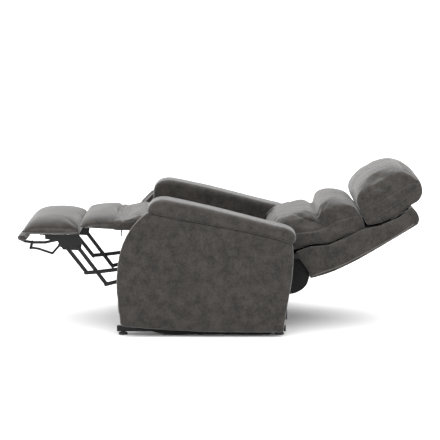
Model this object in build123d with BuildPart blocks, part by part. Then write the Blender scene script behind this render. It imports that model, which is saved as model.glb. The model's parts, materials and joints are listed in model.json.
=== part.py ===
from build123d import *
import os

# Powered riser recliner, modelled fully reclined with its footrest out.
# Front is -Y, up is +Z, the sitter's left is +X; the floor is Z = 0.
# Side profiles are drawn as (Y, Z) on planes X = constant.

os.makedirs("parts", exist_ok=True)

# ---- driving dimensions (mm) ----
HALF_WIDTH = 390          # outer face of each arm cap
SEAT_HALF = 260.5         # inner face of each arm
PAD_HALF = 255            # half width of the footrest pads and the back shell
CUSHION_HALF = 246        # half width of the back cushion
BOARD_HALF = 224          # half width of the boards under the pads
TUBE = 25                 # square base tube
FOOT_HEIGHT = 15
RAIL_X = 308              # inner face of each floor rail
STEEL = 4                 # thickness of a mechanism bar
BAR = 18                  # width of a footrest bar
PIN_R = 5
RUNNING = 0.05            # radial clearance of a pin in its bore
HEAD = 1.5                # thickness of a rivet head
GAP = 0.3                 # play beside a rivet head

# inner face of each layer of the footrest mechanism, from the middle outwards
LAYER_FLIP_LINK = 184
LAYER_FRONT_BAR = 191
LAYER_BRACKET = 198
LAYER_REAR_BAR = 205
LAYER_UPPER_LINK = 212
LAYER_LOWER_LINK = 219
LAYER_PLATE = 226

# pivots of the footrest mechanism (Y, Z)
UPPER_PIVOT = (-405, 303)
LOWER_PIVOT = (-378.3, 214.3)
CROSS_PIVOT = (-568, 268)
UPPER_END = (-619, 264)
LOWER_END = (-527, 211)
BRACKET_REAR = (-650, 378)
BRACKET_FRONT = (-706, 378)
DRIVE_END = (-738, 392)
FLIP_PIVOT = (-866, 404)
FLIP_CRANK_END = (-874, 377)
TORQUE_TUBE = (-377, 255)

# pivots of the lift, the back and the two actuators (Y, Z)
LIFT_PIVOT = (-260, 75)
LIFT_CHAIR = (150, 95)
UPPER_LIFT_PIVOT = (-211, 159.5)
UPPER_LIFT_CHAIR = (60, 150)
LIFT_TUBE = (-140, 81)
LIFT_LUG = (-140, 126)
LIFT_MOTOR_PIVOT = (255, 75)
BACK_PIVOT = (255, 395)
RECLINE_PIVOT = (-150, 225)
RECLINE_LUG = (330, 285)

# control buttons
BUTTON_R = 6
BUTTON_PITCH = 20
BUTTON_ROW = (-190, 517)
BUTTON_COUNT = 4

SIDES = (("left", 1), ("right", -1))


def save(piece, label):
    """Label a finished piece and write its STEP file."""
    piece.part.label = label
    export_step(piece.part, f"parts/{label}.step")


def side_plane(x):
    """Plane of a side profile at X = x: local axes are Y and Z."""
    return Plane.YZ.offset(x)


def polygon_piece(points, x_low, x_high, both_sides=False):
    """Solid between two X planes with a straight-sided (Y, Z) outline."""
    with BuildPart() as piece:
        with BuildSketch(side_plane(x_low)):
            with BuildLine():
                Polyline(*points, close=True)
            make_face()
        extrude(amount=x_high - x_low)
        if both_sides:
            mirror(about=Plane.YZ)
    return piece


def bars(path, layer, width, bores=(), studs=(), tube=None):
    """Pair of flat bars, mirrored about X = 0.

    bores: (Y, Z) of pin holes. studs: ((Y, Z), inner X, outer X, radius).
    tube: (Y, Z) and radius of a cross tube that joins the two bars.
    """
    with BuildPart() as piece:
        with BuildSketch(side_plane(layer)):
            with BuildLine():
                Polyline(*path)
            trace(line_width=width)
            with Locations(*path):
                Circle(width / 2)
            if bores:
                with Locations(*bores):
                    Circle(PIN_R + RUNNING, mode=Mode.SUBTRACT)
        extrude(amount=STEEL)
        for place, low, high, radius in studs:
            with BuildSketch(side_plane(low)):
                with Locations(place):
                    Circle(radius)
            extrude(amount=high - low)
        mirror(about=Plane.YZ)
        if tube:
            with BuildSketch(side_plane(-layer)):
                with Locations(tube[0]):
                    Circle(tube[1])
            extrude(amount=2 * layer)
    return piece


def rivet(place, layer_held, outer_x):
    """Pin and inner head that carry a bar of the layer layer_held."""
    head_top = layer_held - GAP
    return [
        (place, head_top - HEAD, outer_x, PIN_R),
        (place, head_top - HEAD, head_top, PIN_R + 3),
    ]


# =====================================================================
# Base on the floor
# =====================================================================
RAIL_Y = (-470, 300)
FRONT_TUBE_Y = -300
REAR_TUBE_Y = 270
RAIL_TOP = FOOT_HEIGHT + TUBE
FOOT_PLACES = [(s * (RAIL_X + TUBE / 2), y) for s in (1, -1) for y in (-443, 272)]

for side, sign in SIDES:
    with BuildPart() as floor_rail:
        with BuildSketch(Plane.XZ.offset(-RAIL_Y[0])):
            with Locations((sign * (RAIL_X + TUBE / 2), FOOT_HEIGHT + TUBE / 2)):
                RectangleRounded(TUBE, TUBE, 3)
        extrude(amount=-(RAIL_Y[1] - RAIL_Y[0]))
    save(floor_rail, f"{side}_floor_rail")

for name, tube_y in (("front_cross_tube", FRONT_TUBE_Y), ("rear_cross_tube", REAR_TUBE_Y)):
    with BuildPart() as cross_tube:
        with BuildSketch(side_plane(-RAIL_X)):
            with Locations((tube_y + TUBE / 2, FOOT_HEIGHT + TUBE / 2)):
                RectangleRounded(TUBE, TUBE, 3)
        extrude(amount=2 * RAIL_X)
    save(cross_tube, name)

with BuildPart() as glide_feet:
    with BuildSketch(Plane.XY):
        with Locations(*FOOT_PLACES):
            Circle(20)
    extrude(amount=8)
    with BuildSketch(Plane.XY.offset(8)):
        with Locations(*FOOT_PLACES):
            Circle(9)
    extrude(amount=FOOT_HEIGHT - 8)
save(glide_feet, "glide_feet")

BASE_BRACKET_X = 243
LIFT_LINK_X = 236
UPPER_LIFT_X = 249
LIFT_STEEL = 5
LIFT_PIN_R = 6

MOTOR_EAR_X = 34
with BuildPart() as lift_base_brackets:
    with BuildSketch(side_plane(BASE_BRACKET_X)):
        with BuildLine():
            Polyline((-300, RAIL_TOP), (-248, RAIL_TOP), (-197, 155), (-222, 168),
                     (-276, 85), close=True)
        make_face()
        with Locations(LIFT_PIVOT, UPPER_LIFT_PIVOT):
            Circle(15)
    extrude(amount=STEEL)
    with BuildSketch(side_plane(LIFT_LINK_X - GAP)):
        with Locations(LIFT_PIVOT):
            Circle(LIFT_PIN_R)
    extrude(amount=BASE_BRACKET_X - LIFT_LINK_X + GAP)
    with BuildSketch(side_plane(BASE_BRACKET_X + STEEL)):
        with Locations(UPPER_LIFT_PIVOT):
            Circle(LIFT_PIN_R)
    extrude(amount=UPPER_LIFT_X + LIFT_STEEL + GAP - BASE_BRACKET_X - STEEL)
    with BuildSketch(side_plane(MOTOR_EAR_X)):
        with BuildLine():
            Polyline((243, 62), (REAR_TUBE_Y, RAIL_TOP), (REAR_TUBE_Y + TUBE, RAIL_TOP),
                     (268, 86), close=True)
        make_face()
        with Locations(LIFT_MOTOR_PIVOT):
            Circle(13)
    extrude(amount=STEEL)
    mirror(about=Plane.YZ)
    with BuildSketch(side_plane(-MOTOR_EAR_X)):
        with Locations(LIFT_MOTOR_PIVOT):
            Circle(LIFT_PIN_R)
    extrude(amount=2 * MOTOR_EAR_X)
save(lift_base_brackets, "lift_base_brackets")

with BuildPart() as power_supply_box:
    with Locations((150, REAR_TUBE_Y + TUBE / 2, RAIL_TOP + 22)):
        Box(110, 60, 44)
    fillet(power_supply_box.edges().filter_by(Axis.Z), radius=6)
    with BuildSketch(Plane.XZ.offset(-(REAR_TUBE_Y + TUBE / 2 + 30))):
        with Locations((150, RAIL_TOP + 22)):
            Rectangle(26, 18)
    extrude(amount=12, mode=Mode.SUBTRACT)
save(power_supply_box, "power_supply_box")

# =====================================================================
# Lift linkage and its actuator
# =====================================================================


def lift_links(ends, x_low, bores):
    """Pair of riser links between two pivots, with pin bores."""
    with BuildPart() as piece:
        with BuildSketch(side_plane(x_low)):
            with BuildLine():
                Polyline(*ends)
            trace(line_width=26)
            with Locations(*ends):
                Circle(15)
            with Locations(*bores):
                Circle(LIFT_PIN_R + RUNNING, mode=Mode.SUBTRACT)
        extrude(amount=LIFT_STEEL)
        mirror(about=Plane.YZ)
    return piece


main_lift_links = lift_links((LIFT_PIVOT, LIFT_CHAIR), LIFT_LINK_X, [LIFT_PIVOT, LIFT_CHAIR])
save(main_lift_links, "main_lift_links")

upper_lift_links = lift_links((UPPER_LIFT_PIVOT, UPPER_LIFT_CHAIR), UPPER_LIFT_X,
                              [UPPER_LIFT_PIVOT])
save(upper_lift_links, "upper_lift_links")

LUG_X = 8
TORQUE_TUBE_R = 11
with BuildPart() as lift_torque_tube:
    with BuildSketch(side_plane(-LIFT_LINK_X)):
        with Locations(LIFT_TUBE):
            Circle(TORQUE_TUBE_R)
    extrude(amount=2 * LIFT_LINK_X)
    for low in (LUG_X, -LUG_X - STEEL):
        with BuildSketch(side_plane(low)):
            with BuildLine():
                Polyline(LIFT_TUBE, LIFT_LUG)
            trace(line_width=22)
            with Locations(LIFT_LUG):
                Circle(11)
        extrude(amount=STEEL)
save(lift_torque_tube, "lift_torque_tube")


def along(start, end):
    """Plane at start (Y, Z), X = 0, whose normal points to end."""
    run = Vector(0, end[0] - start[0], end[1] - start[1])
    return Plane(origin=(0, start[0], start[1]), x_dir=(1, 0, 0), z_dir=run)


def reach(start, end):
    """Distance between two (Y, Z) points."""
    return Vector(end[0] - start[0], end[1] - start[1]).length


def toward(start, end, distance):
    """The (Y, Z) point at a distance from start on the way to end."""
    share = distance / reach(start, end)
    return (start[0] + share * (end[0] - start[0]), start[1] + share * (end[1] - start[1]))


def actuator_tube(start, end, first, last, radius):
    """Outer tube of an actuator from first to last along its line, open in front."""
    with BuildPart() as piece:
        with BuildSketch(along(start, end).offset(first)):
            Circle(radius)
        extrude(amount=last - first)
        with BuildSketch(along(start, end).offset(last)):
            Circle(11)
        extrude(amount=-(last - first - 12), mode=Mode.SUBTRACT)
    return piece


def actuator_rod(start, end, first, neck):
    """Sliding rod that narrows to a flat neck with an eye at its end."""
    length = reach(start, end)
    with BuildPart() as piece:
        with BuildSketch(along(start, end).offset(first)):
            Circle(10)
        extrude(amount=length - first - neck)
        with BuildSketch(side_plane(-5)):
            with BuildLine():
                Polyline(end, toward(end, start, neck + 10))
            trace(line_width=12)
            with Locations(end):
                Circle(9.5)
        extrude(amount=10)
    return piece


with BuildPart() as lift_motor:
    with BuildSketch(side_plane(-30)):
        with Locations((234, 76)):
            RectangleRounded(62, 48, 8)
        with Locations(LIFT_MOTOR_PIVOT):
            Circle(LIFT_PIN_R + RUNNING, mode=Mode.SUBTRACT)
    extrude(amount=60)
    with BuildSketch(Plane.XZ.offset(-150)):
        with Locations((52, 80)):
            Circle(25)
    extrude(amount=-88)
    fillet(lift_motor.edges().sort_by(Axis.Y)[0], radius=6)
save(lift_motor, "lift_motor")

lift_actuator_tube = actuator_tube(LIFT_MOTOR_PIVOT, LIFT_LUG, 56, 235, 18)
save(lift_actuator_tube, "lift_actuator_tube")
lift_rod = actuator_rod(LIFT_MOTOR_PIVOT, LIFT_LUG, 80, neck=62)
save(lift_rod, "lift_rod")

# =====================================================================
# Arms
# =====================================================================
ARM_FRONT = [(-447, 50), (-463, 221), (-425, 450), (-321, 572)]
ARM_TOP = [(-321, 572), (-89, 525), (134, 482), (326, 428)]
ARM_REAR = [(326, 428), (330, 359), (317, 221), (289, 36)]
ARM_BOTTOM = [(289, 22), (100, 22), (-45, 25), (-316, 39), (-447, 50)]
CAP_NOSE = [(-325, 573), (-312, 607), (-267, 628), (-223, 624)]
CAP_SLOPE = [(-223, 624), (-89, 596), (134, 540), (268, 506)]
CAP_TAIL = [(268, 506), (313, 492), (337, 471), (326, 428)]
CAP_UNDER = [(326, 429), (134, 482.5), (-89, 525.5), (-325, 573)]

for side, sign in SIDES:
    with BuildPart() as outer_panel:
        with BuildSketch(side_plane(sign * 352)):
            with BuildLine():
                Spline(*ARM_FRONT)
                Spline(*ARM_TOP)
                Spline(*ARM_REAR)
                Line(ARM_REAR[-1], ARM_BOTTOM[0])
                Spline(*ARM_BOTTOM)
            make_face()
        extrude(amount=sign * 35)
    save(outer_panel, f"{side}_arm_outer_panel")

    with BuildPart() as arm_cap:
        with BuildSketch(side_plane(sign * 262)):
            with BuildLine():
                Spline(*CAP_NOSE)
                Spline(*CAP_SLOPE)
                Spline(*CAP_TAIL)
                Line(CAP_TAIL[-1], CAP_UNDER[0])
                Spline(*CAP_UNDER)
            make_face()
        extrude(amount=sign * (HALF_WIDTH - 262))
    save(arm_cap, f"{side}_arm_cap")

with BuildPart() as arm_frames:
    with BuildSketch(side_plane(300.5)):
        with BuildLine():
            Spline((-436, 62), (-452, 221), (-414, 447), (-318, 562))
            Spline((-318, 562), (-89, 518), (134, 475), (316, 424))
            Spline((316, 424), (320, 359), (307, 221), (284, 62))
            Line((284, 62), (-436, 62))
        make_face()
    extrude(amount=51.5)
    mirror(about=Plane.YZ)
save(arm_frames, "arm_frames")

with BuildPart() as arm_inner_pads:
    with BuildSketch(side_plane(SEAT_HALF)):
        with BuildLine():
            Spline((-352, 130), (-358, 400), (-344, 505), (-312, 560))
            Spline((-312, 560), (-89, 517), (134, 474), (314, 424))
            Polyline((314, 424), (316, 340), (284, 130), (-352, 130))
        make_face()
    extrude(amount=39.5)
    mirror(about=Plane.YZ)
    with BuildSketch(side_plane(SEAT_HALF)):
        with Locations(BUTTON_ROW):
            with GridLocations(BUTTON_PITCH, 1, BUTTON_COUNT, 1):
                Circle(BUTTON_R + 1.5)
    extrude(amount=10, mode=Mode.SUBTRACT)
save(arm_inner_pads, "arm_inner_pads")

save(polygon_piece([(-380, 62), (-380, 44), (-230, 3), (250, 3), (270, 62)], 346, 349,
                   both_sides=True), "side_skirts")

# =====================================================================
# Seat box, mechanism plates and seat
# =====================================================================
DECK_FRONT = (-385, 452)
DECK_REAR = (160, 350)
DECK_THICK = 14
RAIL_INNER = 230
RAIL_OUTER = 256

seat_side_rails = polygon_piece(
    [(-385, 438), (-385, 372), (215, 268), (215, 322), (160, 336)], RAIL_INNER, RAIL_OUTER,
    both_sides=True)
save(seat_side_rails, "seat_side_rails")

save(polygon_piece([(-385, 366), (-385, 437), (-365, 433), (-365, 366)],
                   -RAIL_INNER, RAIL_INNER), "seat_front_rail")
save(polygon_piece([(165, 190), (165, 225), (190, 225), (190, 190)],
                   -LAYER_PLATE, LAYER_PLATE), "seat_rear_rail")
save(polygon_piece([DECK_FRONT, DECK_REAR, (160, 350 - DECK_THICK), (-385, 452 - DECK_THICK)],
                   -SEAT_HALF + 7, SEAT_HALF - 7), "seat_spring_deck")

with BuildPart() as seat_cushion:
    with BuildSketch(side_plane(-254)):
        with BuildLine():
            Spline((-447, 502), (-444, 524), (-400, 536), (-300, 512), (-100, 466), (60, 438),
                   (150, 420), (166, 400))
            Polyline((166, 400), (162, 350.5), (-385, 452.5), (-404, 460), (-408, 502), (-447, 502))
        make_face()
    extrude(amount=508)
save(seat_cushion, "seat_cushion")

with BuildPart() as mechanism_plates:
    with BuildSketch(side_plane(LAYER_PLATE)):
        with BuildLine():
            Polyline((-415, 299), (-403, 319), (-380, 360), (-340, 360), (215, 262), (215, 185),
                     (150, 185), (-200, 212), (-366, 203), (-390, 207), close=True)
        make_face()
        with Locations(UPPER_PIVOT, LOWER_PIVOT):
            Circle(14)
    extrude(amount=RAIL_INNER - LAYER_PLATE)
    for place, layer in ((UPPER_PIVOT, LAYER_UPPER_LINK), (LOWER_PIVOT, LAYER_LOWER_LINK)):
        for spot, low, high, radius in rivet(place, layer, LAYER_PLATE):
            with BuildSketch(side_plane(low)):
                with Locations(spot):
                    Circle(radius)
            extrude(amount=high - low)
    mirror(about=Plane.YZ)
save(mechanism_plates, "mechanism_plates")

PIVOT_PLATE_X = 256
PIVOT_PLATE_THICK = 3.5
with BuildPart() as chair_lift_brackets:
    with BuildSketch(side_plane(RAIL_INNER)):
        with BuildLine():
            Polyline((128, 95), (132, 262), (186, 254), (172, 95), close=True)
        make_face()
        with Locations(LIFT_CHAIR):
            Circle(22)
    extrude(amount=LIFT_LINK_X - RAIL_INNER - 0.6)
    with BuildSketch(side_plane(LIFT_LINK_X - 0.6)):
        with Locations(LIFT_CHAIR):
            Circle(LIFT_PIN_R)
    extrude(amount=LIFT_STEEL + 1.4)
    with BuildSketch(side_plane(PIVOT_PLATE_X)):
        with BuildLine():
            Polyline((40, 150), (20, 330), (110, 330), (80, 150), close=True)
        make_face()
        with Locations(UPPER_LIFT_CHAIR):
            Circle(20)
    extrude(amount=PIVOT_PLATE_THICK)
    mirror(about=Plane.YZ)
save(chair_lift_brackets, "chair_lift_brackets")

with BuildPart() as back_pivot_brackets:
    with BuildSketch(side_plane(PIVOT_PLATE_X)):
        with BuildLine():
            Polyline((150, 282), (150, 330), (235, 402), (273, 402), (268, 300), (214, 270),
                     close=True)
        make_face()
        with Locations(BACK_PIVOT):
            Circle(20)
    extrude(amount=PIVOT_PLATE_THICK)
    with BuildSketch(side_plane(247)):
        with Locations(BACK_PIVOT):
            Circle(LIFT_PIN_R)
    extrude(amount=PIVOT_PLATE_X - 247)
    mirror(about=Plane.YZ)
save(back_pivot_brackets, "back_pivot_brackets")

with BuildPart() as recline_cross_tube:
    with BuildSketch(side_plane(-LAYER_PLATE)):
        with Locations((-180, 225)):
            RectangleRounded(24, 24, 3)
    extrude(amount=2 * LAYER_PLATE)
    for low in (26, -26 - STEEL):
        with BuildSketch(side_plane(low)):
            with Locations((-158, 225)):
                Rectangle(24, 22)
            with Locations(RECLINE_PIVOT):
                Circle(12)
        extrude(amount=STEEL)
    with BuildSketch(side_plane(-26)):
        with Locations(RECLINE_PIVOT):
            Circle(LIFT_PIN_R)
    extrude(amount=52)
save(recline_cross_tube, "recline_cross_tube")

RAM_SLOT = 84
with BuildPart() as rear_dust_cover:
    with BuildSketch(side_plane(-LAYER_PLATE)):
        with BuildLine():
            Polyline((322, 165), (334, 292), (366, 292), (400, 238), (397, 208), (371, 189),
                     close=True)
        make_face()
    extrude(amount=2 * LAYER_PLATE)
    with Locations((0, 360, 275)):
        Box(RAM_SLOT, 120, 54, mode=Mode.SUBTRACT)
save(rear_dust_cover, "rear_dust_cover")

BEZEL_X = 256.5
with BuildPart() as control_bezel:
    with BuildSketch(side_plane(BEZEL_X)):
        with Locations(BUTTON_ROW):
            RectangleRounded(96, 26, 8)
            with GridLocations(BUTTON_PITCH, 1, BUTTON_COUNT, 1):
                Circle(BUTTON_R + 0.1, mode=Mode.SUBTRACT)
    extrude(amount=SEAT_HALF - BEZEL_X)
save(control_bezel, "control_bezel")

for index in range(BUTTON_COUNT):
    with BuildPart() as button:
        with BuildSketch(side_plane(BEZEL_X - 1.5)):
            with Locations((BUTTON_ROW[0] + (index - 1.5) * BUTTON_PITCH, BUTTON_ROW[1])):
                Circle(BUTTON_R)
        extrude(amount=9)
        fillet(button.edges().sort_by(Axis.X)[0], radius=0.8)
    save(button, f"button_{index + 1}")

# =====================================================================
# Back, its actuator and the head pillow
# =====================================================================
with BuildPart() as back_rear_cover:
    with BuildSketch(side_plane(-PAD_HALF)):
        with BuildLine():
            Spline((413, 246), (550, 292), (690, 368), (835, 456), (902, 497))
            Spline((902, 497), (908, 520), (895, 553), (874, 573))
            Polyline((874, 573), (862, 567))
            Spline((862, 567), (880, 545), (890, 520), (884, 503))
            Spline((884, 503), (828, 468), (684, 380), (545, 306), (413, 262))
            Line((413, 262), (413, 246))
        make_face()
    extrude(amount=2 * PAD_HALF)
save(back_rear_cover, "back_rear_cover")

BOARD_OUTLINE = [(346, 368), (413, 392), (503, 400), (594, 441), (652, 472), (730, 486),
                 (820, 528), (860, 562), (876, 540), (884, 518), (870, 498), (684, 384),
                 (545, 310), (415, 266)]
back_side_boards = polygon_piece(BOARD_OUTLINE, 229, 247, both_sides=True)
save(back_side_boards, "back_side_boards")

back_side_covers = polygon_piece(BOARD_OUTLINE, 251, PAD_HALF, both_sides=True)
save(back_side_covers, "back_side_covers")

with BuildPart() as back_hinge_arms:
    with BuildSketch(side_plane(247)):
        with BuildLine():
            Polyline(BACK_PIVOT, (330, 350), (410, 345), (520, 360))
        trace(line_width=24)
        with Locations(BACK_PIVOT, (330, 350), (410, 345), (520, 360)):
            Circle(12)
        with Locations(BACK_PIVOT):
            Circle(LIFT_PIN_R + RUNNING, mode=Mode.SUBTRACT)
    extrude(amount=STEEL)
    mirror(about=Plane.YZ)
save(back_hinge_arms, "back_hinge_arms")

with BuildPart() as back_cross_rails:
    with BuildSketch(side_plane(-229)):
        with BuildLine():
            Polyline((352, 352), (372, 362), (424, 282), (413, 268), close=True)
        make_face()
        with BuildLine():
            Polyline((800, 515), (850, 548), (872, 505), (824, 475), close=True)
        make_face()
    extrude(amount=458)
save(back_cross_rails, "back_cross_rails")

save(polygon_piece([(384, 369), (413, 380), (503, 400), (594, 441), (652, 472), (730, 486),
                    (799, 517), (799, 505), (730, 472), (656, 458), (600, 428), (509, 386),
                    (415, 362), (384, 356)], -229, 229), "back_webbing_panel")

with BuildPart() as recline_lug:
    for low in (LUG_X, -LUG_X - STEEL):
        with BuildSketch(side_plane(low)):
            with BuildLine():
                Polyline(RECLINE_LUG, (372, 330))
            trace(line_width=26)
            with Locations(RECLINE_LUG):
                Circle(13)
        extrude(amount=STEEL)
save(recline_lug, "recline_lug")

with BuildPart() as back_cushion:
    with BuildSketch(side_plane(-CUSHION_HALF)):
        with BuildLine():
            Spline((222, 440), (213, 466), (237, 490), (284, 514), (331, 528), (378, 542),
                   (416, 550), (440, 541))
            Spline((440, 541), (455, 570), (503, 596), (553, 607), (596, 598), (614, 575),
                   (628, 545))
            Spline((628, 545), (640, 505), (649, 474))
            Polyline((649, 474), (594, 444), (503, 402), (413, 394), (343, 370),
                     (300, 384), (262, 412), (222, 440))
        make_face()
    extrude(amount=2 * CUSHION_HALF)
save(back_cushion, "back_cushion")

with BuildPart() as head_pillow:
    with BuildSketch(side_plane(-245)):
        with BuildLine():
            Spline((666, 500), (632, 560), (613, 619), (651, 681), (716, 721), (809, 763),
                   (871, 747), (926, 690), (929, 640), (880, 585))
            Polyline((880, 585), (822, 532), (730, 492), (666, 482), (666, 500))
        make_face()
    extrude(amount=490)
save(head_pillow, "head_pillow")

with BuildPart() as recline_motor:
    with BuildSketch(side_plane(-22)):
        with Locations((-131, 227)):
            RectangleRounded(62, 46, 8)
        with Locations(RECLINE_PIVOT):
            Circle(LIFT_PIN_R + RUNNING, mode=Mode.SUBTRACT)
    extrude(amount=44)
    with BuildSketch(Plane.XZ.offset(136)):
        with Locations((42, 227)):
            Circle(22)
    extrude(amount=-96)
    fillet(recline_motor.edges().sort_by(Axis.Y)[-1], radius=6)
save(recline_motor, "recline_motor")

recline_actuator_tube = actuator_tube(RECLINE_PIVOT, RECLINE_LUG, 54, 290, 17)
save(recline_actuator_tube, "recline_actuator_tube")
recline_rod = actuator_rod(RECLINE_PIVOT, RECLINE_LUG, 80, neck=34)
save(recline_rod, "recline_rod")

# =====================================================================
# Footrest mechanism
# =====================================================================
upper_footrest_links = bars(
    [TORQUE_TUBE, UPPER_PIVOT, (-465, 281), CROSS_PIVOT, UPPER_END], LAYER_UPPER_LINK, BAR,
    bores=[UPPER_PIVOT],
    studs=rivet(CROSS_PIVOT, LAYER_REAR_BAR, LAYER_UPPER_LINK)
    + [(UPPER_END, LAYER_UPPER_LINK - HEAD, LAYER_UPPER_LINK, PIN_R + 3)],
    tube=(TORQUE_TUBE, 8))
save(upper_footrest_links, "upper_footrest_links")

lower_footrest_links = bars([LOWER_END, (-472, 225), LOWER_PIVOT], LAYER_LOWER_LINK, BAR,
                            bores=[LOWER_PIVOT])
save(lower_footrest_links, "lower_footrest_links")

rear_footrest_bars = bars(
    [LOWER_END, BRACKET_REAR], LAYER_REAR_BAR, BAR, bores=[CROSS_PIVOT],
    studs=rivet(BRACKET_REAR, LAYER_BRACKET, LAYER_REAR_BAR)
    + [(LOWER_END, LAYER_REAR_BAR + STEEL, LAYER_LOWER_LINK - 1, 4.5)])
save(rear_footrest_bars, "rear_footrest_bars")

front_footrest_bars = bars([UPPER_END, BRACKET_FRONT, DRIVE_END], LAYER_FRONT_BAR, BAR,
                           bores=[BRACKET_FRONT])
save(front_footrest_bars, "front_footrest_bars")

with BuildPart() as footrest_brackets:
    with BuildSketch(side_plane(LAYER_BRACKET)):
        with BuildLine():
            Polyline((-806, 439), (-806, 420), (-750, 411), (-724, 370), (-642, 366), (-634, 414),
                     (-650, 439), close=True)
        make_face()
        with BuildLine():
            Polyline((-750, 416), (-805, 404), FLIP_PIVOT)
        trace(line_width=13)
        with Locations(FLIP_PIVOT):
            Circle(9)
        with Locations(BRACKET_REAR):
            Circle(PIN_R + RUNNING, mode=Mode.SUBTRACT)
    extrude(amount=STEEL)
    with BuildSketch(side_plane(LAYER_BRACKET)):
        with Locations((-728, 437)):
            Rectangle(156, 4)
    extrude(amount=-9)
    for place in (BRACKET_FRONT, FLIP_PIVOT):
        for spot, low, high, radius in rivet(place, LAYER_FRONT_BAR, LAYER_BRACKET):
            with BuildSketch(side_plane(low)):
                with Locations(spot):
                    Circle(radius)
            extrude(amount=high - low)
    mirror(about=Plane.YZ)
save(footrest_brackets, "footrest_brackets")

save(polygon_piece([(-895, 439), (-895, 448), (-650, 448), (-650, 439)],
                   -BOARD_HALF, BOARD_HALF), "footrest_board")

with BuildPart() as footrest_pad:
    with BuildSketch(side_plane(-PAD_HALF)):
        with BuildLine():
            Spline((-913, 458), (-894, 490), (-860, 513), (-812, 521), (-716, 519), (-668, 510),
                   (-645, 488))
            Polyline((-645, 488), (-645, 452), (-700, 448.5), (-880, 448.5), (-913, 458))
        make_face()
    extrude(amount=2 * PAD_HALF)
save(footrest_pad, "footrest_pad")

save(polygon_piece([(-625, 470), (-625, 478), (-465, 468), (-465, 460)],
                   -BOARD_HALF, BOARD_HALF), "calf_board")

with BuildPart() as calf_pad:
    with BuildSketch(side_plane(-PAD_HALF)):
        with BuildLine():
            Spline((-453, 500), (-458, 526), (-501, 537), (-560, 534), (-615, 524), (-639, 500))
            Polyline((-639, 500), (-638, 479), (-625, 478.5), (-465, 468.5), (-453, 470),
                     (-453, 500))
        make_face()
    extrude(amount=2 * PAD_HALF)
save(calf_pad, "calf_pad")

with BuildPart() as flipper_cranks:
    with BuildSketch(side_plane(LAYER_FRONT_BAR)):
        with BuildLine():
            Polyline((-925, 421), (-899, 408), FLIP_PIVOT, FLIP_CRANK_END)
        trace(line_width=13)
        with Locations((-925, 421), (-899, 408), FLIP_PIVOT, FLIP_CRANK_END):
            Circle(7)
        with Locations(FLIP_PIVOT):
            Circle(PIN_R + RUNNING, mode=Mode.SUBTRACT)
    extrude(amount=STEEL)
    for spot, low, high, radius in rivet(FLIP_CRANK_END, LAYER_FLIP_LINK, LAYER_FRONT_BAR):
        with BuildSketch(side_plane(low)):
            with Locations(spot):
                Circle(min(radius, 7))
        extrude(amount=high - low)
    mirror(about=Plane.YZ)
save(flipper_cranks, "flipper_cranks")

with BuildPart() as flipper_strip:
    with BuildSketch(side_plane(-240)):
        with BuildLine():
            Polyline((-932, 432), (-920, 444), (-900, 441), (-884, 425), (-905, 419),
                     close=True)
        make_face()
    extrude(amount=480)
    with BuildSketch(side_plane(LAYER_FRONT_BAR - 1)):
        with Locations((-915, 425)):
            Rectangle(60, 26)
    extrude(amount=STEEL + 2, mode=Mode.SUBTRACT)
    with BuildSketch(side_plane(-LAYER_FRONT_BAR + 1)):
        with Locations((-915, 425)):
            Rectangle(60, 26)
    extrude(amount=-STEEL - 2, mode=Mode.SUBTRACT)
save(flipper_strip, "flipper_strip")

flipper_links = bars([FLIP_CRANK_END, (-839, 372), (-775, 350), DRIVE_END], LAYER_FLIP_LINK, 11,
                     bores=[FLIP_CRANK_END])
save(flipper_links, "flipper_links")
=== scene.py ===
"""Looks of a powered riser recliner: leather, steel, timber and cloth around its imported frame."""

from __future__ import annotations

import json
import logging
import math
from collections.abc import Callable, Iterable, Sequence
from dataclasses import dataclass, field
from enum import Enum

import bmesh
import bpy
import numpy as np
from mathutils import Matrix, Vector, noise
from mathutils.bvhtree import BVHTree


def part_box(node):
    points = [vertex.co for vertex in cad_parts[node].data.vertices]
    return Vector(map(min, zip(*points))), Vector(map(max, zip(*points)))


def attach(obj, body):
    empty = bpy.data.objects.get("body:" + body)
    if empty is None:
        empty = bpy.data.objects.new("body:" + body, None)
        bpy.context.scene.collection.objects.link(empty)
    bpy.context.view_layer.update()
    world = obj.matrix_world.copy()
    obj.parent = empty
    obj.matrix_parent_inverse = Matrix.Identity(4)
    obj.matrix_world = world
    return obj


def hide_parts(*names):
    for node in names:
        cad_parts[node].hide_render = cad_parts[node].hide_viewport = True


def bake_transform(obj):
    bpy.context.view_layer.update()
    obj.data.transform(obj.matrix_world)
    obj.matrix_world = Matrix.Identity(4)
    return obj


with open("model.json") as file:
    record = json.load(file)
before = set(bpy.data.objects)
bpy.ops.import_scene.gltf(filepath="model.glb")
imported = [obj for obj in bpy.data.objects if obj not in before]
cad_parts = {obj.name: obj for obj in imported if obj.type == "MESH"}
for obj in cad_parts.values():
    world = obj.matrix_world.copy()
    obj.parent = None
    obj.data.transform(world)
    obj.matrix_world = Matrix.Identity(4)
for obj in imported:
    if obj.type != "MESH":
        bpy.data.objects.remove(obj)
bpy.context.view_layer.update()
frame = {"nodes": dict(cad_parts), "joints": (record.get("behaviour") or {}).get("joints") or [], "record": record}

LOG = logging.getLogger("recliner")
SIDES = (("left", 1), ("right", -1))
Socket = bpy.types.NodeSocket
Object = bpy.types.Object
Mesh = bpy.types.Mesh
Node = bpy.types.Node
Line = Sequence[Vector]
Colour = tuple[float, float, float]


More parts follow.
